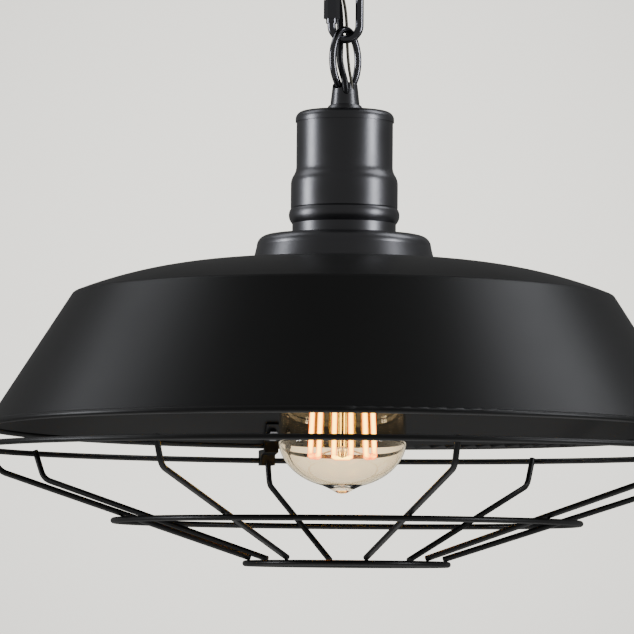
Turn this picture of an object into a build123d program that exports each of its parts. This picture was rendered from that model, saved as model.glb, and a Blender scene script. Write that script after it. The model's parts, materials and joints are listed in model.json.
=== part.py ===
from build123d import *
import math
import os

# A barn-style pendant light: a steel shade with a wire guard, hung from the ceiling by an eye,
# a screw link and an open ring, with the supply cord woven down through them.
#
# Frame: millimetres, +Z up, -Y the front. The origin is the middle of the ceiling bracket's
# upper face, so everything hangs below Z = 0. Heights in this file are measured up from the
# shade's rim, and up() turns one into a Z.

CEILING_TO_RIM = 275.0  # ceiling face to the bottom of the shade's rim
SHADE_DIAMETER = 360.0
SHEET = 1.0  # steel of the shade and the collar
HUSK_WALL = 1.2

# heights above the rim
SHOULDER_H = 68.3
DOME_H = 84.7
COLLAR_TOP_H = 98.4
HUSK_TOP_H = 155.6
LID_TOP_H = 161.0
HANGER_TOP_H = 175.6

SHOULDER_RADIUS = 135.4
RIM_BEAD = 1.7  # radius of the rolled edge
CONE_FOOT_RADIUS = 177.3  # where the cone meets the rolled edge
CONE_FOOT_H = 3.1
DOME_FLAT_RADIUS = 50.0
HOLDER_HOLE = 20.2

# suspension
LINK_WIRE = 2.1  # radius of the screw link's wire
LINK_LENGTH = 37.1
LINK_BOW = 7.0  # centreline radius of its bows
LINK_LOW_H = 197.6  # centre of its lower bow, the ring's pivot
LINK_GAP = (207.3, 211.1)  # the opening that the nut closes
LINK_NUT_H = 205.6
LINK_NUT_LENGTH = 11.8
LINK_NUT_HEX = 9.5
RING_WIRE = 1.8
RING_ABOVE_LINK = 4.9
RING_LENGTH = 34.2  # outside
RING_WIDTH = 23.5
RING_END_RADIUS = 7.0
RING_YAW = 50.0
EYE_WIRE = 2.1
EYE_RADIUS = 9.0
LOOSE = 0.15  # clearance between hanging links

# canopy
CANOPY_DIAMETER = 100.0
CANOPY_HEIGHT = 26.0
CANOPY_WALL = 1.2
SLOT_SPACING = 60.0
SLOT_WIDTH = 4.6
SLOT_LENGTH = 12.0
GRIP_AT = (-9.0, 9.0)
EARTH_GRIP_AT = (-2.1, 13.9)

# cords, thin enough to lie beside the ring
CORD = 1.7  # radius of the supply cord
EARTH = 0.75  # radius of the earth wire

# guard, whose own plane leans a little and hangs lower at the front, where it has no lug
GUARD_WIRE = 1.5
GUARD_DROP = 8.8  # middle of the top ring below the rim
GUARD_SHIFT = 2.5  # the guard sits off the shade's axis by this much, along +X
GUARD_LEAN = 0.9
TOP_RING = 187.5
MIDDLE_RING = 116.4
MIDDLE_RING_DROP = 36.0
BOTTOM_RING = 50.5
BOTTOM_RING_DROP = 56.8
STRUT_BEND = 8.0
STRUT_BEND_RADIUS = 179.0  # where a strut's two straight lines meet
# each strut's angle at the top and the bottom ring, from the front towards +X: bent and
# welded by hand, they aren't quite even
STRUT_ANGLES = (
    (15.9, 10.9),
    (59.3, 53.0),
    (104.3, 98.0),
    (147.6, 139.5),
    (193.0, 189.8),
    (240.6, 234.3),
    (287.5, 281.2),
    (330.5, 322.9),
)
LUG_ANGLES = {"right": 90.0, "back": 193.0, "left": 270.0}
BACK_STRUT = 4  # the strut under the back lug

# bulb, E27 with a pear glass 64 mm across
CAP_RADIUS = 13.2
BULB_LENGTH = 142.0
BULB_TIP_H = -30.7
GLASS_RADIUS = 32.0
GLASS_WALL = 0.8
STRANDS = 12

os.makedirs("parts", exist_ok=True)
parts = []


def up(height):
    """The Z of a height above the shade's rim."""
    return height - CEILING_TO_RIM


def keep(built, label):
    """Names a finished piece and writes it."""
    built.part.label = label
    export_step(built.part, f"parts/{label}.step")
    parts.append(built.part)


def level(height):
    return Plane.XY.offset(up(height))


def across(path):
    """The plane square to a path at its start."""
    return Plane(origin=path @ 0, z_dir=path % 0)


# ---------------------------------------------------------------- ceiling
canopy_bottom = CEILING_TO_RIM - CANOPY_HEIGHT

with BuildPart() as ceiling_bracket:
    with BuildSketch(Plane.XY.offset(-2.0)):
        SlotOverall(88, 20)
        with Locations((-SLOT_SPACING / 2, 0), (SLOT_SPACING / 2, 0)):
            SlotOverall(SLOT_LENGTH, SLOT_WIDTH, mode=Mode.SUBTRACT)
        Circle(3.05, mode=Mode.SUBTRACT)
    extrude(amount=2.0)
keep(ceiling_bracket, "ceiling_bracket")

with BuildPart() as canopy:
    with BuildSketch(Plane.XZ):
        with BuildLine():
            rim_point = (CANOPY_DIAMETER / 2, 0)
            Polyline((CANOPY_DIAMETER / 2 - CANOPY_WALL, 0), rim_point)
            Line(rim_point, (CANOPY_DIAMETER / 2, -CANOPY_HEIGHT + 9))
            RadiusArc(
                (CANOPY_DIAMETER / 2, -CANOPY_HEIGHT + 9),
                (CANOPY_DIAMETER / 2 - 9, -CANOPY_HEIGHT),
                9,
            )
            Polyline(
                (CANOPY_DIAMETER / 2 - 9, -CANOPY_HEIGHT),
                (0, -CANOPY_HEIGHT),
                (0, -CANOPY_HEIGHT + CANOPY_WALL),
                (CANOPY_DIAMETER / 2 - 9, -CANOPY_HEIGHT + CANOPY_WALL),
            )
            RadiusArc(
                (CANOPY_DIAMETER / 2 - 9, -CANOPY_HEIGHT + CANOPY_WALL),
                (CANOPY_DIAMETER / 2 - CANOPY_WALL, -CANOPY_HEIGHT + 9),
                -(9 - CANOPY_WALL),
            )
            Line(
                (CANOPY_DIAMETER / 2 - CANOPY_WALL, -CANOPY_HEIGHT + 9),
                (CANOPY_DIAMETER / 2 - CANOPY_WALL, 0),
            )
        make_face()
    revolve(axis=Axis.Z)
    with BuildSketch(Plane.XY.offset(-CANOPY_HEIGHT)):
        Circle(3.05)
        with Locations(GRIP_AT):
            Circle(4.05)
        with Locations(EARTH_GRIP_AT):
            Circle(1.2)
    extrude(amount=CANOPY_WALL, mode=Mode.SUBTRACT)
keep(canopy, "canopy")

eye_pivot_h = LINK_LOW_H + LINK_LENGTH - 2 * LINK_WIRE - LINK_WIRE - EYE_WIRE - LOOSE
eye_middle_h = eye_pivot_h + EYE_RADIUS
shank_low_h = eye_middle_h + EYE_RADIUS

with BuildPart() as eye_bolt:
    with BuildSketch(Plane.XY.offset(up(shank_low_h - 1.2))):
        Circle(3.0)
    extrude(amount=CEILING_TO_RIM - shank_low_h + 1.0)
    with BuildSketch(Plane.XY.offset(up(canopy_bottom - 2.0))):
        Circle(6.0)
    extrude(amount=2.0)
    with Locations(Location((0, 0, up(eye_middle_h)), (0, 90, 0))):
        Torus(EYE_RADIUS, EYE_WIRE)
keep(eye_bolt, "eye_bolt")

with BuildPart() as eye_washer:
    with BuildSketch(Plane.XY.offset(-CANOPY_HEIGHT + CANOPY_WALL)):
        Circle(6.0)
        Circle(3.2, mode=Mode.SUBTRACT)
    extrude(amount=1.2)
keep(eye_washer, "eye_washer")

with BuildPart() as eye_nuts:
    for bottom in (-CANOPY_HEIGHT + CANOPY_WALL + 1.2, -7.0):
        with BuildSketch(Plane.XY.offset(bottom)):
            RegularPolygon(5.0, 6, major_radius=False)
            Circle(3.0, mode=Mode.SUBTRACT)
        extrude(amount=5.0)
keep(eye_nuts, "eye_nuts")

with BuildPart() as cord_grip:
    with BuildSketch(Plane.XY.offset(-CANOPY_HEIGHT - 3.0)):
        with Locations(GRIP_AT):
            Circle(5.6)
    extrude(amount=3.0, taper=-12)
    with BuildSketch(Plane.XY.offset(-CANOPY_HEIGHT)):
        with Locations(GRIP_AT):
            Circle(4.0)
    extrude(amount=9.0)
    with BuildSketch(Plane.XY.offset(-CANOPY_HEIGHT - 3.0)):
        with Locations(GRIP_AT):
            Circle(CORD)
    extrude(amount=12.0, mode=Mode.SUBTRACT)
    with BuildSketch(Plane.XY.offset(-CANOPY_HEIGHT - 3.0)):
        with Locations(GRIP_AT):
            Circle(CORD + 0.6)
    extrude(amount=5.5, taper=4, mode=Mode.SUBTRACT)
keep(cord_grip, "cord_grip")

with BuildPart() as cord_grip_nut:
    with BuildSketch(Plane.XY.offset(-CANOPY_HEIGHT + CANOPY_WALL)):
        with Locations(GRIP_AT):
            RegularPolygon(5.6, 6, major_radius=False, rotation=45)
            Circle(4.0, mode=Mode.SUBTRACT)
    extrude(amount=3.0)
keep(cord_grip_nut, "cord_grip_nut")

TERMINAL_AT = (20.0, 14.0)
TERMINAL_PITCH = 9.0
terminal_spots = [(TERMINAL_AT[0] + k * TERMINAL_PITCH, TERMINAL_AT[1]) for k in (-1, 0, 1)]

with BuildPart() as terminal_block:
    with BuildSketch(Plane.XY.offset(-CANOPY_HEIGHT + CANOPY_WALL + 0.5)):
        with Locations(TERMINAL_AT):
            RectangleRounded(28, 16, 2)
    extrude(amount=11.0)
    with BuildSketch(Plane.XZ.offset(-TERMINAL_AT[1] - 8)):
        with Locations(*[(x, -CANOPY_HEIGHT + CANOPY_WALL + 5) for x, y in terminal_spots]):
            Circle(1.8)
    extrude(amount=16, mode=Mode.SUBTRACT)
    with BuildSketch(Plane.XY.offset(-CANOPY_HEIGHT + CANOPY_WALL + 8.5)):
        with Locations(*terminal_spots):
            Circle(1.5)
    extrude(amount=3.0, mode=Mode.SUBTRACT)
keep(terminal_block, "terminal_block")

with BuildPart() as terminal_screws:
    with BuildSketch(Plane.XY.offset(-CANOPY_HEIGHT + CANOPY_WALL + 8.5)):
        with Locations(*terminal_spots):
            Circle(1.45)
    extrude(amount=2.5)
keep(terminal_screws, "terminal_screws")

# ---------------------------------------------------------------- screw link, nut and ring
link_high_h = LINK_LOW_H + LINK_LENGTH - 2 * LINK_WIRE
low_turn = up(LINK_LOW_H + LINK_BOW)
high_turn = up(link_high_h - LINK_BOW)

with BuildPart() as screw_link:
    with BuildLine(Plane.XZ) as link_line:
        Line((-LINK_BOW, up(LINK_GAP[0])), (-LINK_BOW, low_turn))
        CenterArc((0, low_turn), LINK_BOW, 180, 180)
        Line((LINK_BOW, low_turn), (LINK_BOW, high_turn))
        CenterArc((0, high_turn), LINK_BOW, 0, 180)
        Line((-LINK_BOW, high_turn), (-LINK_BOW, up(LINK_GAP[1])))
    with BuildSketch(Plane(origin=(-LINK_BOW, 0, up(LINK_GAP[0])), z_dir=(0, 0, -1))):
        Circle(LINK_WIRE)
    sweep(path=link_line.wire())
keep(screw_link, "screw_link")

hex_low = LINK_NUT_H + LINK_NUT_LENGTH - LINK_NUT_HEX
with BuildPart() as screw_link_nut:
    with BuildSketch(level(LINK_NUT_H)):
        with Locations((-LINK_BOW, 0)):
            Circle(2.85)
    extrude(amount=LINK_NUT_LENGTH)
    with BuildSketch(level(hex_low)):
        with Locations((-LINK_BOW, 0)):
            RegularPolygon(3.5, 6, major_radius=False)
    extrude(amount=LINK_NUT_HEX)
    with BuildSketch(level(LINK_NUT_H)):
        with Locations((-LINK_BOW, 0)):
            Circle(LINK_WIRE + 0.06)
    extrude(amount=LINK_NUT_LENGTH, mode=Mode.SUBTRACT)
keep(screw_link_nut, "screw_link_nut")

# the ring is a four-arc oval, open by a narrow joint at the middle of its right side
ring_half = RING_LENGTH / 2 - RING_WIRE
ring_half_width = RING_WIDTH / 2 - RING_WIRE
ring_top_h = LINK_LOW_H + RING_ABOVE_LINK
ring_middle_h = ring_top_h - ring_half
lamp_pivot_h = ring_top_h - 2 * ring_half
end_centre = ring_half - RING_END_RADIUS
side_radius = (ring_half_width**2 + end_centre**2 - RING_END_RADIUS**2) / (
    2 * (ring_half_width - RING_END_RADIUS)
)
side_centre = side_radius - ring_half_width
side_angle = math.degrees(math.atan2(end_centre, side_centre))
joint_angle = 0.3
ring_plane = Plane(
    origin=(0, 0, up(ring_middle_h)),
    x_dir=(math.cos(math.radians(RING_YAW)), math.sin(math.radians(RING_YAW)), 0),
    z_dir=(math.sin(math.radians(RING_YAW)), -math.cos(math.radians(RING_YAW)), 0),
)

with BuildPart() as hanging_ring:
    with BuildLine(ring_plane) as ring_line:
        CenterArc((-side_centre, 0), side_radius, joint_angle, side_angle - joint_angle)
        CenterArc((0, end_centre), RING_END_RADIUS, side_angle, 180 - 2 * side_angle)
        CenterArc((side_centre, 0), side_radius, 180 - side_angle, 2 * side_angle)
        CenterArc((0, -end_centre), RING_END_RADIUS, 180 + side_angle, 180 - 2 * side_angle)
        CenterArc((-side_centre, 0), side_radius, -side_angle, side_angle - joint_angle)
    with BuildSketch(across(ring_line.wire())):
        Circle(RING_WIRE)
    sweep(path=ring_line.wire())
keep(hanging_ring, "hanging_ring")

# ---------------------------------------------------------------- cords
CORD_ROUTE = [
    (-9.0, 9.0, 262.0),
    (-9.0, 9.0, 246.0),
    (-8.3, 8.6, 238.0),
    (-5.6, 7.6, 227.0),
    (-3.2, 6.4, 216.0),
    (-2.6, 5.7, 205.5),
    (-2.6, 4.1, 195.6),
    (-3.0, -0.9, 187.4),
    (-1.6, -5.7, 180.6),
    (0.2, -6.5, 174.6),
    (0.6, -4.6, 168.6),
    (-0.2, -2.0, 163.0),
    (-0.8, -0.4, 157.0),
    (-0.9, 0.1, 150.0),
    (-0.4, 0.4, 143.0),
    (0.6, 1.0, 136.0),
]
EARTH_ROUTE = [
    (-2.0, 14.0, 262.0),
    (-2.2, 13.8, 250.0),
    (-3.6, 12.0, 239.0),
    (-3.4, 9.2, 227.0),
    (-0.3, 7.6, 216.0),
    (0.7, 6.2, 205.5),
    (0.9, 4.4, 195.6),
    (1.4, -0.3, 187.4),
    (2.1, -3.6, 180.9),
    (3.3, -4.8, 174.6),
    (3.6, -4.0, 168.6),
    (2.6, -2.0, 163.0),
    (2.3, -1.5, 157.0),
    (2.2, -1.2, 150.0),
    (2.4, -1.6, 143.0),
    (3.0, -1.0, 136.0),
]
CUTS = (4, 7)  # the runs, counted from 0, whose middles part the cord at mid link and mid ring


def tube_radii(points):
    """The arc at each inner corner: 0.45 of the shorter run, over the tangent of half the turn."""
    radii = []
    for before, corner, after in zip(points, points[1:], points[2:]):
        a, b = Vector(corner) - Vector(before), Vector(after) - Vector(corner)
        turn = math.radians(a.get_angle(b))
        radii.append(0.45 * min(a.length, b.length) / math.tan(turn / 2))
    return radii


def cord_pieces(name, route, radius):
    """Writes a cord in three stretches, each of which bends at one pivot."""
    points = [Vector(x, y, up(height)) for x, y, height in route]
    radii = tube_radii(points)
    print(name, "radii", [round(r, 1) for r in radii])
    starts = [0] + [cut + 1 for cut in CUTS]
    ends = [cut + 1 for cut in CUTS] + [len(points)]
    for stretch, start, end in zip(("upper", "middle", "lower"), starts, ends):
        run = points[start:end]
        bends = radii[max(start - 1, 0) : end - 1]
        if start > 0:
            run = [(points[start - 1] + points[start]) / 2] + run
        if end < len(points):
            run = run + [(points[end - 1] + points[end]) / 2]
        with BuildPart() as stretch_part:
            with BuildLine() as line:
                FilletPolyline(*run, radius=bends)
            with BuildSketch(across(line.wire())):
                Circle(radius)
            sweep(path=line.wire())
        print(
            f"  {name}_{stretch}: volume over section times length",
            round(stretch_part.part.volume / (math.pi * radius**2 * line.wire().length), 4),
        )
        keep(stretch_part, f"{name}_{stretch}")


cord_pieces("supply_cord", CORD_ROUTE, CORD)
cord_pieces("earth_wire", EARTH_ROUTE, EARTH)

# ---------------------------------------------------------------- hanger, nipple and nuts
with BuildPart() as hanger:
    with BuildSketch(Plane.XZ):
        with BuildLine():
            Polyline(
                (0, up(LID_TOP_H)),
                (9.0, up(LID_TOP_H)),
                (9.0, up(LID_TOP_H + 1.6)),
                (8.2, up(LID_TOP_H + 3.0)),
                (7.4, up(LID_TOP_H + 3.4)),
                (6.3, up(HANGER_TOP_H - 1.6)),
            )
            RadiusArc((6.3, up(HANGER_TOP_H - 1.6)), (4.7, up(HANGER_TOP_H)), -1.7)
            Polyline((4.7, up(HANGER_TOP_H)), (0, up(HANGER_TOP_H)), (0, up(LID_TOP_H)))
        make_face()
    revolve(axis=Axis.Z)
    # the channel that the ring's lower bow lies in, wide enough for it to lean to both sides
    with BuildLine(ring_plane) as bow_line:
        CenterArc((side_centre, 0), side_radius, 180, side_angle)
        CenterArc((0, -end_centre), RING_END_RADIUS, 180 + side_angle, 180 - 2 * side_angle)
        CenterArc((-side_centre, 0), side_radius, -side_angle, side_angle)
    bow = bow_line.wire()
    with BuildSketch(Plane(origin=bow @ 0, x_dir=ring_plane.z_dir, z_dir=bow % 0)):
        Ellipse(RING_WIRE + 1.5, RING_WIRE + 0.45)
    sweep(path=bow, mode=Mode.SUBTRACT)
    with BuildSketch(level(LID_TOP_H)):
        Circle(5.0)
    extrude(amount=1.5, mode=Mode.SUBTRACT)
    # the cord's slanting mouth in front
    with BuildLine() as mouth:
        FilletPolyline(
            *[Vector(x, y, up(z)) for x, y, z in CORD_ROUTE[8:13]],
            radius=tube_radii([Vector(x, y, up(z)) for x, y, z in CORD_ROUTE[8:13]]),
        )
    with BuildSketch(across(mouth.wire())):
        Circle(CORD + 0.25)
    sweep(path=mouth.wire(), mode=Mode.SUBTRACT)
    with BuildLine() as earth_mouth:
        FilletPolyline(
            *[Vector(x, y, up(z)) for x, y, z in EARTH_ROUTE[8:13]],
            radius=tube_radii([Vector(x, y, up(z)) for x, y, z in EARTH_ROUTE[8:13]]),
        )
    with BuildSketch(across(earth_mouth.wire())):
        Circle(EARTH + 0.25)
    sweep(path=earth_mouth.wire(), mode=Mode.SUBTRACT)
keep(hanger, "hanger")

with BuildPart() as nipple:
    with BuildSketch(level(142.0)):
        Circle(5.0)
        Circle(4.2, mode=Mode.SUBTRACT)
    extrude(amount=LID_TOP_H + 1.5 - 142.0)
keep(nipple, "nipple")

with BuildPart() as nipple_nut:
    with BuildSketch(level(LID_TOP_H - HUSK_WALL - 3.0)):
        RegularPolygon(7.0, 6, major_radius=False)
        Circle(5.0, mode=Mode.SUBTRACT)
    extrude(amount=3.0)
keep(nipple_nut, "nipple_nut")

# ---------------------------------------------------------------- husk and collar
LID_RADIUS = 24.75
LID_FILLET = 4.0

with BuildPart() as husk_lid:
    with BuildSketch(Plane.XZ):
        with BuildLine():
            RadiusArc(
                (LID_RADIUS, up(LID_TOP_H - LID_FILLET)),
                (LID_RADIUS - LID_FILLET, up(LID_TOP_H)),
                -LID_FILLET,
            )
            Polyline(
                (LID_RADIUS - LID_FILLET, up(LID_TOP_H)),
                (5.0, up(LID_TOP_H)),
                (5.0, up(LID_TOP_H - HUSK_WALL)),
                (LID_RADIUS - LID_FILLET, up(LID_TOP_H - HUSK_WALL)),
            )
            RadiusArc(
                (LID_RADIUS - LID_FILLET, up(LID_TOP_H - HUSK_WALL)),
                (LID_RADIUS - HUSK_WALL, up(LID_TOP_H - LID_FILLET)),
                LID_FILLET - HUSK_WALL,
            )
            Polyline(
                (LID_RADIUS - HUSK_WALL, up(LID_TOP_H - LID_FILLET)),
                (21.95, up(HUSK_TOP_H + 0.8)),
                (21.95, up(HUSK_TOP_H - 4.0)),
                (22.95, up(HUSK_TOP_H - 4.0)),
                (22.95, up(HUSK_TOP_H)),
                (LID_RADIUS, up(HUSK_TOP_H)),
                (LID_RADIUS, up(LID_TOP_H - LID_FILLET)),
            )
        make_face()
    revolve(axis=Axis.Z)
keep(husk_lid, "husk_lid")

with BuildPart() as husk:
    with BuildSketch(Plane.XZ):
        with BuildLine():
            Line((24.8, up(COLLAR_TOP_H)), (26.0, up(COLLAR_TOP_H)))
            Line((26.0, up(COLLAR_TOP_H)), (26.0, up(104.4)))
            ThreePointArc((26.0, up(104.4)), (27.75, up(108.3)), (26.95, up(111.7)))
            Polyline(
                (26.95, up(111.7)), (26.6, up(111.9)), (26.85, up(112.5)), (26.85, up(124.0))
            )
            ThreePointArc((26.85, up(124.0)), (26.5, up(126.6)), (25.52, up(128.7)))
            ThreePointArc((25.52, up(128.7)), (24.54, up(130.8)), (24.2, up(133.4)))
            Polyline(
                (24.2, up(133.4)),
                (24.2, up(HUSK_TOP_H)),
                (23.0, up(HUSK_TOP_H)),
                (23.0, up(132.4)),
                (25.65, up(123.6)),
                (25.65, up(111.0)),
                (24.8, up(104.4)),
                (24.8, up(COLLAR_TOP_H)),
            )
        make_face()
    revolve(axis=Axis.Z)
keep(husk, "husk")

COLLAR_FOOT = 45.7
COLLAR_SIDE = 43.7
COLLAR_FILLET = 5.5
COLLAR_SIDE_H = COLLAR_TOP_H - COLLAR_FILLET

with BuildPart() as collar:
    with BuildSketch(Plane.XZ):
        with BuildLine():
            Line((COLLAR_FOOT - SHEET, up(DOME_H)), (COLLAR_FOOT, up(DOME_H)))
            Line((COLLAR_FOOT, up(DOME_H)), (COLLAR_SIDE, up(COLLAR_SIDE_H)))
            RadiusArc(
                (COLLAR_SIDE, up(COLLAR_SIDE_H)),
                (COLLAR_SIDE - COLLAR_FILLET, up(COLLAR_TOP_H)),
                -COLLAR_FILLET,
            )
            Polyline(
                (COLLAR_SIDE - COLLAR_FILLET, up(COLLAR_TOP_H)),
                (HOLDER_HOLE, up(COLLAR_TOP_H)),
                (HOLDER_HOLE, up(COLLAR_TOP_H - SHEET)),
                (COLLAR_SIDE - COLLAR_FILLET, up(COLLAR_TOP_H - SHEET)),
            )
            RadiusArc(
                (COLLAR_SIDE - COLLAR_FILLET, up(COLLAR_TOP_H - SHEET)),
                (COLLAR_SIDE - SHEET, up(COLLAR_SIDE_H)),
                COLLAR_FILLET - SHEET,
            )
            Line((COLLAR_SIDE - SHEET, up(COLLAR_SIDE_H)), (COLLAR_FOOT - SHEET, up(DOME_H)))
        make_face()
    revolve(axis=Axis.Z)
keep(collar, "collar")

# ---------------------------------------------------------------- shade
# dome: flat out to DOME_FLAT_RADIUS, then an arc that starts level and ends at the shoulder
dome_out = SHOULDER_RADIUS - DOME_FLAT_RADIUS
dome_fall = DOME_H - SHOULDER_H
dome_radius = (dome_out**2 + dome_fall**2) / (2 * dome_fall)
dome_centre = Vector(DOME_FLAT_RADIUS, DOME_H - dome_radius)
shoulder = Vector(SHOULDER_RADIUS, SHOULDER_H)
cone_foot = Vector(CONE_FOOT_RADIUS, CONE_FOOT_H)
dome_normal = (shoulder - dome_centre).normalized()
cone_along = (cone_foot - shoulder).normalized()
cone_normal = Vector(-cone_along.Y, cone_along.X)
inner_shoulder = shoulder - (dome_normal + cone_normal) * (
    SHEET / (1 + dome_normal.dot(cone_normal))
)
inner_foot = cone_foot - cone_normal * SHEET
half_dome = math.radians(0.5 * math.degrees(math.asin(dome_out / dome_radius)))


def dome_arc_middle(radius):
    """The point half way along the dome's arc, for an arc of that radius."""
    return Vector(
        dome_centre.X + radius * math.sin(half_dome), dome_centre.Y + radius * math.cos(half_dome)
    )


def drawn(point):
    """A point of radius and height, on the drawing plane of a turned piece."""
    return (point.X, up(point.Y))


# ---------------------------------------------------------------- guard geometry
guard_plane = Plane(
    origin=(GUARD_SHIFT, 0, up(-GUARD_DROP)),
    x_dir=(1, 0, 0),
    z_dir=(0, -math.sin(math.radians(GUARD_LEAN)), math.cos(math.radians(GUARD_LEAN))),
)
cone_slope = (inner_foot.X - inner_shoulder.X) / (inner_shoulder.Y - inner_foot.Y)
LUG_SCREW_H = 8.5
LUG_TAB = 1.6


def guard_point(radius, angle, drop):
    """A point of the leaning guard; the angle is from the front, towards +X."""
    turn = math.radians(angle)
    local = Vector(radius * math.sin(turn), -radius * math.cos(turn), -drop)
    return guard_plane.from_local_coords(local)


def wall_radius(height):
    """Radius of the cone's inner face."""
    return inner_foot.X + (inner_foot.Y - height) * cone_slope


def lug_plane(angle):
    """The upright plane through the axis and the top ring at a lug: X is the radius, Y is Z."""
    ring_at = guard_point(TOP_RING, angle, 0)
    turn = math.atan2(ring_at.Y, ring_at.X)
    return Plane(
        origin=(0, 0, 0),
        x_dir=(math.cos(turn), math.sin(turn), 0),
        z_dir=(math.sin(turn), -math.cos(turn), 0),
    )


def lug_screw_plane(angle):
    """On the cone's inner face, with Z square to it and outwards."""
    plane = lug_plane(angle)
    spot = plane.from_local_coords((wall_radius(LUG_SCREW_H), up(LUG_SCREW_H), 0))
    outwards = plane.x_dir * cone_normal.X + Vector(0, 0, 1) * cone_normal.Y
    return Plane(origin=spot, x_dir=plane.z_dir, z_dir=outwards)


with BuildPart() as shade:
    with BuildSketch(Plane.XZ):
        with BuildLine():
            Line((HOLDER_HOLE, up(DOME_H)), (DOME_FLAT_RADIUS, up(DOME_H)))
            ThreePointArc(
                (DOME_FLAT_RADIUS, up(DOME_H)), drawn(dome_arc_middle(dome_radius)), drawn(shoulder)
            )
            Polyline(
                drawn(shoulder),
                drawn(cone_foot),
                (SHADE_DIAMETER / 2 - RIM_BEAD, up(RIM_BEAD)),
                drawn(inner_foot),
                drawn(inner_shoulder),
            )
            ThreePointArc(
                drawn(inner_shoulder),
                drawn(dome_arc_middle(dome_radius - SHEET)),
                (DOME_FLAT_RADIUS, up(DOME_H - SHEET)),
            )
            Polyline(
                (DOME_FLAT_RADIUS, up(DOME_H - SHEET)),
                (HOLDER_HOLE, up(DOME_H - SHEET)),
                (HOLDER_HOLE, up(DOME_H)),
            )
        make_face()
        with Locations((SHADE_DIAMETER / 2 - RIM_BEAD, up(RIM_BEAD))):
            Circle(RIM_BEAD)
    revolve(axis=Axis.Z)
    shoulders = shade.edges().filter_by(GeomType.CIRCLE).filter_by(
        lambda e: abs(e.radius - SHOULDER_RADIUS) < 1.0
    )
    fillet(shoulders, 2.5)
    for angle in LUG_ANGLES.values():
        with BuildSketch(lug_screw_plane(angle).offset(-1.0)):
            Circle(1.6)
        extrude(amount=SHEET + 2.0, mode=Mode.SUBTRACT)
keep(shade, "shade")

# ---------------------------------------------------------------- lamp holder
HOLDER_RADIUS = 19.5
HOLDER_LOW_H = 77.5
HOLDER_JOIN_H = 126.0
HOLDER_HIGH_H = 148.0
SOCKET_RADIUS = 14.0
SOCKET_FLOOR_H = 113.0

with BuildPart() as holder_body:
    with BuildSketch(level(HOLDER_LOW_H)):
        Circle(HOLDER_RADIUS)
    extrude(amount=HOLDER_JOIN_H - HOLDER_LOW_H)
    with BuildSketch(level(COLLAR_TOP_H)):
        Circle(23.8)
    extrude(amount=3.0)
    with BuildSketch(level(HOLDER_LOW_H)):
        Circle(SOCKET_RADIUS)
    extrude(amount=SOCKET_FLOOR_H - HOLDER_LOW_H, mode=Mode.SUBTRACT)
    with BuildSketch(level(HOLDER_JOIN_H - 8.0)):
        with Locations((-8, 0), (8, 0)):
            Rectangle(6, 9)
    extrude(amount=8.0, mode=Mode.SUBTRACT)
    chamfer(holder_body.faces().sort_by(Axis.Z)[0].edges().sort_by(SortBy.RADIUS)[0], 1.5)
keep(holder_body, "holder_body")

with BuildPart() as holder_cap:
    with BuildSketch(level(HOLDER_JOIN_H)):
        Circle(HOLDER_RADIUS)
    extrude(amount=HOLDER_HIGH_H - HOLDER_JOIN_H)
    fillet(holder_cap.faces().sort_by(Axis.Z)[-1].edges(), 6)
    with BuildSketch(level(HOLDER_JOIN_H)):
        Circle(HOLDER_RADIUS - 2.5)
    extrude(amount=16.0, mode=Mode.SUBTRACT)
    with BuildSketch(level(HOLDER_JOIN_H)):
        Circle(5.0)
    extrude(amount=HOLDER_HIGH_H - HOLDER_JOIN_H, mode=Mode.SUBTRACT)
keep(holder_cap, "holder_cap")

with BuildPart() as holder_terminals:
    with BuildSketch(level(HOLDER_JOIN_H - 7.9)):
        with Locations((-8, 0), (8, 0)):
            Rectangle(5, 7)
    extrude(amount=6.0)
    with BuildSketch(level(HOLDER_JOIN_H - 1.9)):
        with Locations((-8, 0), (8, 0)):
            Circle(2.0)
    extrude(amount=1.6)
keep(holder_terminals, "holder_terminals")

with BuildPart() as thread_shell:
    with BuildSketch(level(88.0)):
        Circle(SOCKET_RADIUS - 0.02)
        Circle(SOCKET_RADIUS - 0.45, mode=Mode.SUBTRACT)
    extrude(amount=20.0)
keep(thread_shell, "thread_shell")

with BuildPart() as centre_contact:
    with BuildSketch(level(BULB_TIP_H + BULB_LENGTH + 0.1)):
        SlotOverall(16, 6)
    extrude(amount=0.6)
    with BuildSketch(level(BULB_TIP_H + BULB_LENGTH + 0.7)):
        with Locations((6, 0)):
            Circle(1.8)
    extrude(amount=SOCKET_FLOOR_H - BULB_TIP_H - BULB_LENGTH - 0.7)
keep(centre_contact, "centre_contact")

with BuildPart() as shade_ring_nut:
    with BuildSketch(level(DOME_H - SHEET - 1.6)):
        Circle(27.0)
    extrude(amount=1.6)
    with BuildSketch(level(DOME_H - SHEET - 5.0)):
        Circle(22.5)
    extrude(amount=3.4)
    with BuildSketch(level(DOME_H - SHEET - 5.0)):
        Circle(HOLDER_RADIUS + 0.02)
    extrude(amount=5.0, mode=Mode.SUBTRACT)
keep(shade_ring_nut, "shade_ring_nut")

# ---------------------------------------------------------------- guard
ring_sizes = {
    "guard_top_ring": (TOP_RING, 0),
    "guard_middle_ring": (MIDDLE_RING, MIDDLE_RING_DROP),
    "guard_bottom_ring": (BOTTOM_RING, BOTTOM_RING_DROP),
}
for label, (radius, drop) in ring_sizes.items():
    with BuildPart(guard_plane.offset(-drop)) as guard_ring:
        Torus(radius, GUARD_WIRE)
    keep(guard_ring, label)


strut_slope = (BOTTOM_RING_DROP - MIDDLE_RING_DROP) / (MIDDLE_RING - BOTTOM_RING)
strut_lift = (2 * GUARD_WIRE + 0.02) * math.hypot(1, strut_slope)


def strut_drop(radius):
    """The drop of a strut that just rests on the middle and the bottom ring."""
    return MIDDLE_RING_DROP - strut_lift + (MIDDLE_RING - radius) * strut_slope


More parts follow.
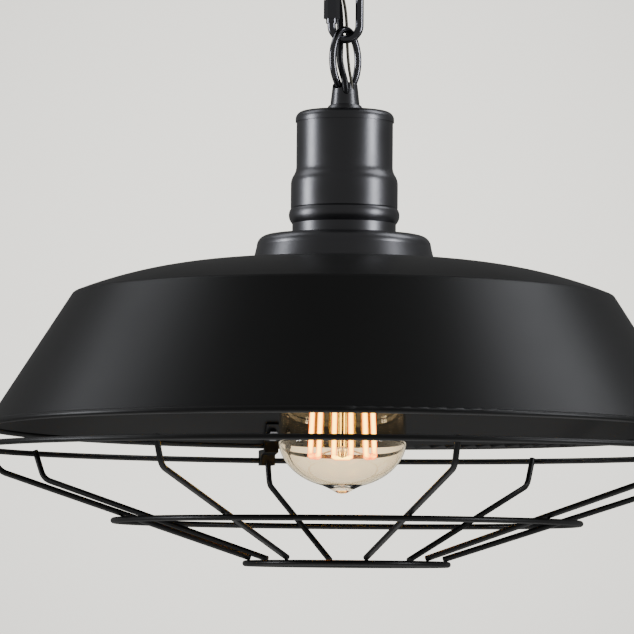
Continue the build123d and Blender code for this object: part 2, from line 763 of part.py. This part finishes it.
def strut_route(upper, lower):
    """Down beside the top ring, round one bend, then straight in to the bottom ring."""
    return [
        guard_point(TOP_RING - 3.02, upper, -1.5),
        guard_point(STRUT_BEND_RADIUS, upper, strut_drop(STRUT_BEND_RADIUS)),
        guard_point(49.0, lower, strut_drop(49.0)),
    ]


for k, (upper, lower) in enumerate(STRUT_ANGLES):
    with BuildPart() as strut:
        with BuildLine() as strut_line:
            FilletPolyline(*strut_route(upper, lower), radius=STRUT_BEND)
        with BuildSketch(across(strut_line.wire())):
            Circle(GUARD_WIRE)
        sweep(path=strut_line.wire())
    keep(strut, f"guard_strut_{k + 1}")

LUG_HALF_WIDTH = 3.75
LUG_HIGH_H = 12.5
for place, angle in LUG_ANGLES.items():
    plane = lug_plane(angle)
    ring_at = plane.to_local_coords(guard_point(TOP_RING, angle, 0))
    ring_h = ring_at.Y + CEILING_TO_RIM
    bead_side = SHADE_DIAMETER / 2 - 2 * RIM_BEAD - 0.7
    tab = LUG_TAB / cone_normal.X
    with BuildPart() as lug:
        with BuildSketch(plane):
            with BuildLine():
                Polyline(
                    (wall_radius(LUG_HIGH_H) - 0.1, up(LUG_HIGH_H)),
                    (wall_radius(3.8) - 0.1, up(3.8)),
                    (bead_side, up(2.8)),
                    (bead_side, up(-0.35)),
                    (ring_at.X + 2.6, up(-0.35)),
                    (ring_at.X + 2.6, up(ring_h - 2.6)),
                    (ring_at.X - 5.2, up(ring_h - 2.6)),
                    (ring_at.X - 5.2, up(-3.2)),
                    (bead_side - 3.0, up(-2.0)),
                    (wall_radius(3.8) - tab - 0.1, up(3.8)),
                    (wall_radius(LUG_HIGH_H) - tab - 0.1, up(LUG_HIGH_H)),
                    close=True,
                )
            make_face()
        extrude(amount=LUG_HALF_WIDTH, both=True)
        with BuildSketch(plane):
            with Locations((ring_at.X, ring_at.Y)):
                Circle(GUARD_WIRE + 0.15)
        extrude(amount=LUG_HALF_WIDTH + 1, both=True, mode=Mode.SUBTRACT)
        if place == "back":
            top, bend, foot = strut_route(*STRUT_ANGLES[BACK_STRUT])
            with BuildSketch(Plane(origin=top * 1.1 - bend * 0.1, z_dir=bend - top)):
                Circle(GUARD_WIRE + 0.1)
            extrude(amount=(bend - top).length + 2, mode=Mode.SUBTRACT)
        with BuildSketch(lug_screw_plane(angle).offset(-LUG_TAB - 2.0)):
            Circle(1.6)
        extrude(amount=LUG_TAB + 3.0, mode=Mode.SUBTRACT)
    keep(lug, f"guard_lug_{place}")

with BuildPart() as lug_screws:
    for angle in LUG_ANGLES.values():
        inside = lug_screw_plane(angle)
        with BuildSketch(inside.offset(SHEET)):
            Circle(2.8)
        extrude(amount=1.4)
        with BuildSketch(inside.offset(-LUG_TAB - 3.2)):
            Circle(1.5)
        extrude(amount=LUG_TAB + 3.2 + SHEET)
keep(lug_screws, "lug_screws")

with BuildPart() as lug_nuts:
    for angle in LUG_ANGLES.values():
        with BuildSketch(lug_screw_plane(angle).offset(-LUG_TAB - 0.2 - 2.4)):
            RegularPolygon(2.75, 6, major_radius=False)
            Circle(1.5, mode=Mode.SUBTRACT)
        extrude(amount=2.4)
keep(lug_nuts, "lug_nuts")

# ---------------------------------------------------------------- bulb
BULB_TOP_H = BULB_TIP_H + BULB_LENGTH
CAP_LOW_H = 85.0
CAP_HIGH_H = BULB_TOP_H - 3.8
THREAD_PITCH = 25.4 / 7
EQUATOR_H = -3.7
NECK_H = 88.0
NECK_RADIUS = 12.4
GLASS_BELLY = 24.0  # from the equator down to the glass's bottom, without its tip

with BuildPart() as bulb_glass:
    with BuildSketch(Plane.XZ):
        with BuildLine():
            Spline(
                (NECK_RADIUS, up(NECK_H)),
                (13.4, up(77.0)),
                (19.0, up(56.0)),
                (26.0, up(34.0)),
                (31.0, up(14.0)),
                (GLASS_RADIUS, up(EQUATOR_H)),
                tangents=((0, -1), (0, -1)),
            )
            belly = EllipticalCenterArc(
                (0, up(EQUATOR_H)), GLASS_RADIUS, GLASS_BELLY, start_angle=287, arc_size=73
            )
            Spline(
                belly @ 0,
                (5.4, up(-28.4)),
                (2.4, up(-30.3)),
                (0, up(BULB_TIP_H)),
                tangents=((-1, -0.2), (-1, 0)),
            )
            Line((0, up(BULB_TIP_H)), (0, up(EQUATOR_H - GLASS_BELLY + GLASS_WALL)))
            EllipticalCenterArc(
                (0, up(EQUATOR_H)),
                GLASS_RADIUS - GLASS_WALL,
                GLASS_BELLY - GLASS_WALL,
                start_angle=270,
                arc_size=90,
            )
            Spline(
                (GLASS_RADIUS - GLASS_WALL, up(EQUATOR_H)),
                (31.0 - GLASS_WALL, up(14.0)),
                (26.0 - GLASS_WALL, up(34.0)),
                (19.0 - GLASS_WALL, up(56.0)),
                (13.4 - GLASS_WALL, up(77.0)),
                (NECK_RADIUS - GLASS_WALL, up(NECK_H)),
                tangents=((0, 1), (0, 1)),
            )
            Line((NECK_RADIUS - GLASS_WALL, up(NECK_H)), (NECK_RADIUS, up(NECK_H)))
        make_face()
    revolve(axis=Axis.Z)
keep(bulb_glass, "bulb_glass")

ridges = int((CAP_HIGH_H - 3.0 - CAP_LOW_H - 4.0) / THREAD_PITCH)
with BuildPart() as bulb_cap:
    with BuildSketch(Plane.XZ):
        with BuildLine():
            Polyline(
                (CAP_RADIUS - 0.5, up(CAP_LOW_H + 4.0)),
                (CAP_RADIUS - 0.5, up(CAP_LOW_H)),
                (CAP_RADIUS, up(CAP_LOW_H)),
                (CAP_RADIUS - 0.4, up(CAP_LOW_H + 4.0)),
            )
            for n in range(ridges):
                low = CAP_LOW_H + 4.0 + n * THREAD_PITCH
                ThreePointArc(
                    (CAP_RADIUS - 0.4, up(low)),
                    (CAP_RADIUS, up(low + THREAD_PITCH / 2)),
                    (CAP_RADIUS - 0.4, up(low + THREAD_PITCH)),
                )
            top_ridge = CAP_LOW_H + 4.0 + ridges * THREAD_PITCH
            Polyline(
                (CAP_RADIUS - 0.4, up(top_ridge)),
                (CAP_RADIUS - 0.8, up(CAP_HIGH_H - 1.0)),
                (CAP_RADIUS - 2.8, up(CAP_HIGH_H)),
                (CAP_RADIUS - 3.2, up(CAP_HIGH_H)),
                (CAP_RADIUS - 1.3, up(CAP_HIGH_H - 1.4)),
                (CAP_RADIUS - 1.3, up(NECK_H + 4.0)),
                (CAP_RADIUS - 0.75, up(NECK_H + 3.0)),
                (CAP_RADIUS - 0.5, up(CAP_LOW_H + 4.0)),
            )
        make_face()
    revolve(axis=Axis.Z)
keep(bulb_cap, "bulb_cap")

with BuildPart() as bulb_insulator:
    with BuildSketch(level(CAP_HIGH_H)):
        Circle(CAP_RADIUS - 3.0)
    extrude(amount=2.4, taper=40)
keep(bulb_insulator, "bulb_insulator")

with BuildPart() as bulb_contact:
    with BuildSketch(level(CAP_HIGH_H + 2.4)):
        Circle(4.6)
    extrude(amount=BULB_TOP_H - CAP_HIGH_H - 2.4)
    fillet(bulb_contact.faces().sort_by(Axis.Z)[-1].edges(), 1.0)
keep(bulb_contact, "bulb_contact")

CAGE_TOP_H = 44.0
CAGE_LOW_H = -12.0
CAGE_TOP_RADIUS = 14.0
CAGE_LOW_RADIUS = 16.6
FILAMENT = 0.3
SUPPORT = 0.2
STEM_ROD = 1.9

with BuildPart() as bulb_stem:
    with BuildSketch(Plane.XZ):
        with BuildLine():
            Polyline(
                (0, up(NECK_H - 1.0)),
                (9.5, up(NECK_H - 1.0)),
                (6.0, up(78.0)),
                (4.0, up(66.0)),
                (STEM_ROD, up(60.0)),
                (STEM_ROD, up(CAGE_LOW_H + 5.0)),
                (2.8, up(CAGE_LOW_H + 3.0)),
                (2.2, up(CAGE_LOW_H)),
                (0, up(CAGE_LOW_H - 0.8)),
                close=True,
            )
        make_face()
    revolve(axis=Axis.Z)
keep(bulb_stem, "bulb_stem")


def cage_point(k, radius, height):
    turn = 2 * math.pi * (k + 0.5) / STRANDS
    return Vector(radius * math.sin(turn), -radius * math.cos(turn), up(height))


filament_route = []
for k in range(STRANDS):
    low_end = cage_point(k, CAGE_LOW_RADIUS, CAGE_LOW_H)
    high_end = cage_point(k, CAGE_TOP_RADIUS, CAGE_TOP_H)
    filament_route += [low_end, high_end] if k % 2 == 0 else [high_end, low_end]

with BuildPart() as filament:
    with BuildLine() as filament_line:
        FilletPolyline(*filament_route, radius=1.4)
    with BuildSketch(across(filament_line.wire())):
        Circle(FILAMENT)
    sweep(path=filament_line.wire())
keep(filament, "filament")

with BuildPart() as filament_supports:
    for k in range(0, STRANDS, 2):
        for radius, height, step in (
            (CAGE_TOP_RADIUS, CAGE_TOP_H, 0.5),
            (CAGE_LOW_RADIUS, CAGE_LOW_H, 1.5),
        ):
            reach = radius * math.cos(math.pi / STRANDS) - FILAMENT - 0.1
            rise = 2.5 if height > 0 else 4.2
            rod_end = cage_point(k + step, STEM_ROD - 0.4, height + rise)
            cage_end = cage_point(k + step, reach, height)
            with BuildSketch(Plane(origin=rod_end, z_dir=cage_end - rod_end)):
                Circle(SUPPORT)
            extrude(amount=(cage_end - rod_end).length)
keep(filament_supports, "filament_supports")
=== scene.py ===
import bpy
import json
import math
from mathutils import Euler, Matrix, Vector


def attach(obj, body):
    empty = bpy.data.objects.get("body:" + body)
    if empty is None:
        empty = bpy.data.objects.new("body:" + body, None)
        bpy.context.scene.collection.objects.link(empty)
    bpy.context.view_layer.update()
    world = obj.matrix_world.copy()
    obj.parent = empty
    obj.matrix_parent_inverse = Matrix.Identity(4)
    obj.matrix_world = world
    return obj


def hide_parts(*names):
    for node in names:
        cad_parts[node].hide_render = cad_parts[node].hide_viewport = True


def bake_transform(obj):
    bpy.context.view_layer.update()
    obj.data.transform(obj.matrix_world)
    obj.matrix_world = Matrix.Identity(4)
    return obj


# Metres, +Z up, -Y the front. The origin is on the ceiling, in the middle of the bracket.
# Heights in this file are millimetres above the shade's rim, as in the CAD source.
CEILING_TO_RIM = 275.0

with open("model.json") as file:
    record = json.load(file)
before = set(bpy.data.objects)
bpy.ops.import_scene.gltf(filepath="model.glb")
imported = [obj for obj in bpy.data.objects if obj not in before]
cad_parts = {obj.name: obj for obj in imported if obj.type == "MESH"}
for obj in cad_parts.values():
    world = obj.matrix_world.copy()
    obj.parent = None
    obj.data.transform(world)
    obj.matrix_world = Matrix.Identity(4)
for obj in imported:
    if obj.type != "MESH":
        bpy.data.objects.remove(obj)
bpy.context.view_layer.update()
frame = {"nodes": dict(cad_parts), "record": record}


def at(x, y, height):
    """A point from millimetres and a height above the rim."""
    return Vector((x / 1000, y / 1000, (height - CEILING_TO_RIM) / 1000))


# ---------------------------------------------------------------- materials
def new_material(name):
    material = bpy.data.materials.new(name)
    material.use_nodes = True
    return material, material.node_tree, material.node_tree.nodes["Principled BSDF"]


def plain(name, colour, roughness, coat=0.0):
    material, tree, shader = new_material(name)
    shader.inputs["Base Color"].default_value = (*colour, 1)
    shader.inputs["Roughness"].default_value = roughness
    shader.inputs["Coat Weight"].default_value = coat
    shader.inputs["Coat Roughness"].default_value = 0.25
    return material


def object_noise(tree, scale, detail=4.0):
    """Noise that stays on the piece."""
    place = tree.nodes.new("ShaderNodeTexCoord")
    noise = tree.nodes.new("ShaderNodeTexNoise")
    noise.inputs["Scale"].default_value = scale
    noise.inputs["Detail"].default_value = detail
    tree.links.new(place.outputs["Object"], noise.inputs["Vector"])
    return noise


def spread(tree, noise, low, high):
    """Maps noise onto a small range."""
    span = tree.nodes.new("ShaderNodeMapRange")
    span.inputs["From Min"].default_value = 0.3
    span.inputs["From Max"].default_value = 0.7
    span.inputs["To Min"].default_value = low
    span.inputs["To Max"].default_value = high
    tree.links.new(noise.outputs["Fac"], span.inputs["Value"])
    return span.outputs["Result"]


def bump(tree, shader, noise, strength, distance):
    lift = tree.nodes.new("ShaderNodeBump")
    lift.inputs["Strength"].default_value = strength
    lift.inputs["Distance"].default_value = distance
    tree.links.new(noise.outputs["Fac"], lift.inputs["Height"])
    tree.links.new(lift.outputs["Normal"], shader.inputs["Normal"])


def paint(name, colour, low, high, grain=0.02, specular=0.5):
    """Satin paint: its gloss wanders a little and its surface has a fine grain."""
    material, tree, shader = new_material(name)
    shader.inputs["Base Color"].default_value = (*colour, 1)
    shader.inputs["Specular IOR Level"].default_value = specular
    gloss = object_noise(tree, 14.0)
    tree.links.new(spread(tree, gloss, low, high), shader.inputs["Roughness"])
    bump(tree, shader, object_noise(tree, 900.0, 2.0), grain, 0.0004)
    return material


def metal(name, colour, low, high, grain=0.05):
    material, tree, shader = new_material(name)
    shader.inputs["Base Color"].default_value = (*colour, 1)
    shader.inputs["Metallic"].default_value = 1.0
    gloss = object_noise(tree, 60.0)
    tree.links.new(spread(tree, gloss, low, high), shader.inputs["Roughness"])
    bump(tree, shader, object_noise(tree, 500.0, 3.0), grain, 0.0003)
    return material


def clear_glass(name, colour):
    material, tree, shader = new_material(name)
    shader.inputs["Base Color"].default_value = (*colour, 1)
    shader.inputs["Roughness"].default_value = 0.0
    shader.inputs["IOR"].default_value = 1.45
    shader.inputs["Transmission Weight"].default_value = 1.0
    return material


def filament_glow(name):
    """Hot and opaque where it faces the eye, thinner, darker and redder towards its edges."""
    material, tree, shader = new_material(name)
    shader.inputs["Base Color"].default_value = (0.0, 0.0, 0.0, 1)
    shader.inputs["Specular IOR Level"].default_value = 0.0
    facing = tree.nodes.new("ShaderNodeLayerWeight")
    facing.inputs["Blend"].default_value = 0.35
    heat = tree.nodes.new("ShaderNodeValToRGB")
    heat.color_ramp.elements[0].position = 0.0
    heat.color_ramp.elements[0].color = (1.0, 0.7, 0.1, 1)
    heat.color_ramp.elements[1].position = 0.55
    heat.color_ramp.elements[1].color = (1.0, 0.1, 0.0, 1)
    tree.links.new(facing.outputs["Facing"], heat.inputs["Fac"])
    tree.links.new(heat.outputs["Color"], shader.inputs["Emission Color"])
    for target, centre, edge in (("Emission Strength", 10.0, 2.2), ("Alpha", 1.0, 0.3)):
        fade = tree.nodes.new("ShaderNodeMapRange")
        fade.inputs["From Max"].default_value = 0.8
        fade.inputs["To Min"].default_value = centre
        fade.inputs["To Max"].default_value = edge
        tree.links.new(facing.outputs["Facing"], fade.inputs["Value"])
        tree.links.new(fade.outputs["Result"], shader.inputs[target])
    return material


materials = {
    "black_paint": paint("black_paint", (0.01, 0.01, 0.0095), 0.36, 0.42, specular=0.36),
    "gunmetal": metal("gunmetal", (0.15, 0.15, 0.156), 0.3, 0.36, 0.02),
    "black_nickel": metal("black_nickel", (0.17, 0.17, 0.185), 0.17, 0.23, 0.01),
    "black_screws": paint("black_screws", (0.012, 0.012, 0.012), 0.3, 0.4),
    "zinc_steel": metal("zinc_steel", (0.3, 0.3, 0.31), 0.34, 0.46),
    "black_plastic": paint("black_plastic", (0.012, 0.012, 0.012), 0.45, 0.55),
    "white_plastic": plain("white_plastic", (0.75, 0.74, 0.7), 0.35),
    "brass": metal("brass", (0.75, 0.5, 0.2), 0.25, 0.35),
    "cap_brass": metal("cap_brass", (0.8, 0.56, 0.26), 0.22, 0.32),
    "porcelain": plain("porcelain", (0.8, 0.78, 0.72), 0.22, coat=0.4),
    "cord_sheath": paint("cord_sheath", (0.012, 0.012, 0.014), 0.3, 0.36),
    "earth_sheath": paint("earth_sheath", (0.16, 0.15, 0.115), 0.3, 0.4),
    "amber_glass": clear_glass("amber_glass", (1.0, 0.88, 0.68)),
    "stem_glass": clear_glass("stem_glass", (1.0, 0.97, 0.9)),
    "black_glass": plain("black_glass", (0.01, 0.01, 0.01), 0.08, coat=0.5),
    "filament": filament_glow("filament"),
    "support_wire": metal("support_wire", (0.5, 0.4, 0.3), 0.3, 0.4),
}

slots = {s["node"]: s["material_slot"] for s in frame["record"]["subparts"]}
for node, piece in frame["nodes"].items():
    piece.data.materials.clear()
    piece.data.materials.append(materials[slots[node]])


# ---------------------------------------------------------------- cords
# corner points of the cord's and the earth wire's runs: x, y, height above the rim
CORD_ROUTE = [
    (-9.0, 9.0, 262.0),
    (-9.0, 9.0, 246.0),
    (-8.3, 8.6, 238.0),
    (-5.6, 7.6, 227.0),
    (-3.2, 6.4, 216.0),
    (-2.6, 5.7, 205.5),
    (-2.6, 4.1, 195.6),
    (-3.0, -0.9, 187.4),
    (-1.6, -5.7, 180.6),
    (0.2, -6.5, 174.6),
    (0.6, -4.6, 168.6),
    (-0.2, -2.0, 163.0),
    (-0.8, -0.4, 157.0),
    (-0.9, 0.1, 150.0),
    (-0.4, 0.4, 143.0),
    (0.6, 1.0, 136.0),
]
EARTH_ROUTE = [
    (-2.0, 14.0, 262.0),
    (-2.2, 13.8, 250.0),
    (-3.6, 12.0, 239.0),
    (-3.4, 9.2, 227.0),
    (-0.3, 7.6, 216.0),
    (0.7, 6.2, 205.5),
    (0.9, 4.4, 195.6),
    (1.4, -0.3, 187.4),
    (2.1, -3.6, 180.9),
    (3.3, -4.8, 174.6),
    (3.6, -4.0, 168.6),
    (2.6, -2.0, 163.0),
    (2.3, -1.5, 157.0),
    (2.2, -1.2, 150.0),
    (2.4, -1.6, 143.0),
    (3.0, -1.0, 136.0),
]
CUTS = (3, 7)  # runs whose middles part the looks' three stretches
STRETCHES = (
    ("upper", "ceiling", "screw_link", 236.0, 222.5),
    ("middle", "screw_link", "hanging_ring", 205.0, 189.0),
    ("lower", "hanging_ring", "lamp", 179.0, 165.0),
)


def smooth_run(points, steps=16):
    """A smooth line that starts and ends on the points and bends towards the ones between."""
    joints = [points[0]]
    for a, b in zip(points[1:-2], points[2:-1]):
        joints.append((a + b) / 2)
    joints.append(points[-1])
    line = [joints[0]]
    for start, pull, end in zip(joints, points[1:-1], joints[1:]):
        for k in range(1, steps + 1):
            t = k / steps
            line.append(start * (1 - t) ** 2 + pull * 2 * t * (1 - t) + end * t**2)
    return line


def tube(name, line, radius, material, sides=20):
    """A closed round tube along a line, turned as little as possible from ring to ring."""
    verts, faces = [], []
    side = Vector((1, 0, 0))
    for k, here in enumerate(line):
        ahead = line[min(k + 1, len(line) - 1)]
        behind = line[max(k - 1, 0)]
        along = (ahead - behind).normalized()
        side = (side - along * side.dot(along)).normalized()
        other = along.cross(side)
        for n in range(sides):
            turn = 2 * math.pi * n / sides
            verts.append(here + (side * math.cos(turn) + other * math.sin(turn)) * radius)
    for k in range(len(line) - 1):
        for n in range(sides):
            a, b = k * sides + n, k * sides + (n + 1) % sides
            faces.append((a, b, b + sides, a + sides))
    faces.append(tuple(reversed(range(sides))))
    faces.append(tuple(range((len(line) - 1) * sides, len(line) * sides)))
    mesh = bpy.data.meshes.new(name)
    mesh.from_pydata([tuple(v) for v in verts], [], faces)
    mesh.update()
    mesh.polygons.foreach_set("use_smooth", [len(p.vertices) == 4 for p in mesh.polygons])
    mesh.materials.append(material)
    obj = bpy.data.objects.new(name, mesh)
    bpy.context.scene.collection.objects.link(obj)
    return obj


def lay_cord(name, route, radius, slot):
    points = [at(*p) for p in route]
    starts = [0] + [cut + 1 for cut in CUTS]
    ends = [cut + 1 for cut in CUTS] + [len(points)]
    for (part, above, below, start_h, end_h), start, end in zip(STRETCHES, starts, ends):
        run = points[start:end]
        if start > 0:
            run = [(points[start - 1] + points[start]) / 2] + run
        if end < len(points):
            run = run + [(points[end - 1] + points[end]) / 2]
        line = smooth_run(run)
        piece = tube(f"{name}_{part}_look", line, radius, materials[slot])
        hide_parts(f"{name}_{part}")
        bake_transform(piece)


SUPPLY_CORD_RADIUS = 0.0017
EARTH_WIRE_RADIUS = 0.00075
lay_cord("supply_cord", CORD_ROUTE, SUPPLY_CORD_RADIUS, "cord_sheath")
lay_cord("earth_wire", EARTH_ROUTE, EARTH_WIRE_RADIUS, "earth_sheath")


# ---------------------------------------------------------------- bulb
def through_points(points, steps=12):
    """A smooth line through all of the points."""
    padded = [points[0]] + points + [points[-1]]
    line = [Vector(points[0])]
    for a, b, c, d in zip(padded, padded[1:], padded[2:], padded[3:]):
        a, b, c, d = Vector(a), Vector(b), Vector(c), Vector(d)
        for k in range(1, steps + 1):
            t = k / steps
            line.append(
                b
                + (c - a) * (t / 2)
                + (2 * a - 5 * b + 4 * c - d) * (t**2 / 2)
                + (3 * b - a - 3 * c + d) * (t**3 / 2)
            )
    return line


def belly(width, depth, last, steps=40):
    """The bulb's lower half from its widest level down, as radius and height."""
    line = []
    for k in range(1, steps + 1):
        turn = math.radians(last * k / steps)
        line.append(Vector((width * math.cos(turn), WIDEST - depth * math.sin(turn))))
    return line


def lathe(name, outline, material, turns=128):
    """A solid of revolution; the outline's points on the axis become single vertices."""
    verts, faces, rings = [], [], []
    for radius, height in outline:
        if radius < 1e-6:
            rings.append([len(verts)] * turns)
            verts.append(at(0, 0, height))
            continue
        rings.append(list(range(len(verts), len(verts) + turns)))
        for n in range(turns):
            turn = 2 * math.pi * n / turns
            verts.append(at(radius * math.cos(turn), radius * math.sin(turn), height))
    for upper, lower in zip(rings, rings[1:] + rings[:1]):
        for n in range(turns):
            m = (n + 1) % turns
            corners = []
            for corner in (upper[n], lower[n], lower[m], upper[m]):
                if corner not in corners:
                    corners.append(corner)
            if len(corners) > 2:
                faces.append(corners)
    mesh = bpy.data.meshes.new(name)
    mesh.from_pydata([tuple(v) for v in verts], [], faces)
    mesh.update()
    mesh.polygons.foreach_set("use_smooth", [True] * len(mesh.polygons))
    mesh.materials.append(material)
    obj = bpy.data.objects.new(name, mesh)
    bpy.context.scene.collection.objects.link(obj)
    return obj


# millimetres: radii and heights above the rim
GLASS_RADIUS = 32.0
WIDEST = -3.7
BELLY_DEPTH = 24.0
WALL = 0.8
TIP = -30.7
FLANK = [
    (12.4, 88.0),
    (13.4, 77.0),
    (19.0, 56.0),
    (26.0, 34.0),
    (31.2, 12.0),
    (GLASS_RADIUS, WIDEST),
]
outer = through_points(FLANK) + belly(GLASS_RADIUS, BELLY_DEPTH, 72)
outer += through_points([tuple(outer[-1]), (5.6, -28.5), (2.5, -30.2), (0.0, TIP)])[1:]
outer[-1] = Vector((0.0, TIP))
inner = belly(GLASS_RADIUS - WALL, BELLY_DEPTH - WALL, 90)
inner[-1] = Vector((0.0, WIDEST - BELLY_DEPTH + WALL))
inner = inner[::-1] + through_points([(r - WALL, h) for r, h in FLANK])[::-1]
glass = lathe("bulb_glass_look", outer + inner, materials["amber_glass"])
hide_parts("bulb_glass")
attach(glass, "bulb")

STRANDS = 12
CAGE_TOP = (14.0, 44.0)  # the cage's radius and height at its upper and lower hooks
CAGE_LOW = (16.6, -12.0)
GLOW = 0.0014  # the glow's radius in metres, thicker than the wire in it
STEPS = 12  # points along one strand


def hook(k, radius, height):
    turn = 2 * math.pi * (k + 0.5) / STRANDS
    return at(radius * math.sin(turn), -radius * math.cos(turn), height)


strand_ends = []
for k in range(STRANDS):
    high_end, low_end = hook(k, *CAGE_TOP), hook(k, *CAGE_LOW)
    strand_ends += [high_end, low_end] if k % 2 else [low_end, high_end]
strands = []
for a, b in zip(strand_ends, strand_ends[1:]):
    strands += [a + (b - a) * (k / STEPS) for k in range(STEPS)]
strands.append(strand_ends[-1])
filament_look = tube("filament_look", strands, GLOW, materials["filament"], sides=12)
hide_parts("filament")
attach(filament_look, "bulb")

# ---------------------------------------------------------------- room
BEHIND_THE_LAMP = (0.0, 0.9973, 0.0734)  # a direction, a little upwards and to the back
# the room is bright to look at, straight or through glass, and dim as a light
world = bpy.data.worlds.new("room")
world.use_nodes = True
sky = world.node_tree
bright = sky.nodes["Background"]
bright.inputs["Color"].default_value = (0.73, 0.714, 0.66, 1)
# brightest straight behind the lamp, seen from the front
where = sky.nodes.new("ShaderNodeTexCoord")
toward = sky.nodes.new("ShaderNodeVectorMath")
toward.operation = "DOT_PRODUCT"
toward.inputs[1].default_value = BEHIND_THE_LAMP
sky.links.new(where.outputs["Generated"], toward.inputs[0])
glare = sky.nodes.new("ShaderNodeMapRange")
glare.inputs["From Min"].default_value = 0.9964
glare.inputs["From Max"].default_value = 1.0
glare.inputs["To Min"].default_value = 2.25
glare.inputs["To Max"].default_value = 2.75
sky.links.new(toward.outputs["Value"], glare.inputs["Value"])
sky.links.new(glare.outputs["Result"], bright.inputs["Strength"])
dim = sky.nodes.new("ShaderNodeBackground")
dim.inputs["Color"].default_value = (0.70, 0.70, 0.70, 1)
dim.inputs["Strength"].default_value = 0.22
ray = sky.nodes.new("ShaderNodeLightPath")
looked_at = sky.nodes.new("ShaderNodeMath")
looked_at.operation = "MAXIMUM"
sky.links.new(ray.outputs["Is Camera Ray"], looked_at.inputs[0])
sky.links.new(ray.outputs["Is Transmission Ray"], looked_at.inputs[1])
pick = sky.nodes.new("ShaderNodeMixShader")
sky.links.new(looked_at.outputs[0], pick.inputs["Fac"])
sky.links.new(dim.outputs[0], pick.inputs[1])
sky.links.new(bright.outputs[0], pick.inputs[2])
sky.links.new(pick.outputs[0], sky.nodes["World Output"].inputs["Surface"])
bpy.context.scene.world = world


def area_light(name, place, target, width, height, power, colour=(1, 1, 1)):
    data = bpy.data.lights.new(name, "AREA")
    data.shape = "RECTANGLE"
    data.size = width
    data.size_y = height
    data.energy = power
    data.color = colour
    obj = bpy.data.objects.new(name, data)
    obj.location = place
    obj.rotation_euler = (Vector(target) - Vector(place)).to_track_quat("-Z", "Y").to_euler()
    bpy.context.scene.collection.objects.link(obj)
    return obj


middle = (0, 0, -0.2)
cool = (0.93, 0.95, 1.0)
area_light("left_strip", (-1.6, -0.1, 0.0), middle, 0.35, 0.9, 12, cool)
area_light("right_strip", (1.48, -0.6, 0.0), middle, 0.35, 0.9, 12, cool)
area_light("left_top", (-1.3, 0.5, 1.2), middle, 0.9, 0.9, 4.5, cool)
area_light("right_top", (1.3, 0.3, 1.3), middle, 0.9, 0.9, 9, cool)
# light that a pale room throws back up, felt but not seen
from_below = area_light("from_below", (0.0, 0.0, -1.6), middle, 3.0, 3.0, 22)
from_below.visible_camera = False
from_below.visible_transmission = False

bulb_glow = bpy.data.lights.new("bulb_glow", "POINT")
bulb_glow.energy = 0.35
bulb_glow.color = (1.0, 0.5, 0.18)
bulb_glow.shadow_soft_size = 0.015
glow = bpy.data.objects.new("bulb_glow", bulb_glow)
glow.location = at(0, 0, 16)  # the middle of the filament's cage
glow.visible_transmission = False
glow.visible_glossy = False
bpy.context.scene.collection.objects.link(glow)

# ---------------------------------------------------------------- camera
camera_data = bpy.data.cameras.new("camera")
camera_data.sensor_width = 36.0
camera_data.lens = 299.2
camera_data.clip_end = 50.0
camera = bpy.data.objects.new("camera", camera_data)
camera.location = at(-13.2, -2628.0, -135.7)
tilt = Euler((math.radians(94.21), 0, 0)).to_matrix()
roll = Matrix.Rotation(math.radians(0.45), 3, "Z")
camera.rotation_euler = (tilt @ roll).to_euler()
bpy.context.scene.collection.objects.link(camera)
bpy.context.scene.camera = camera
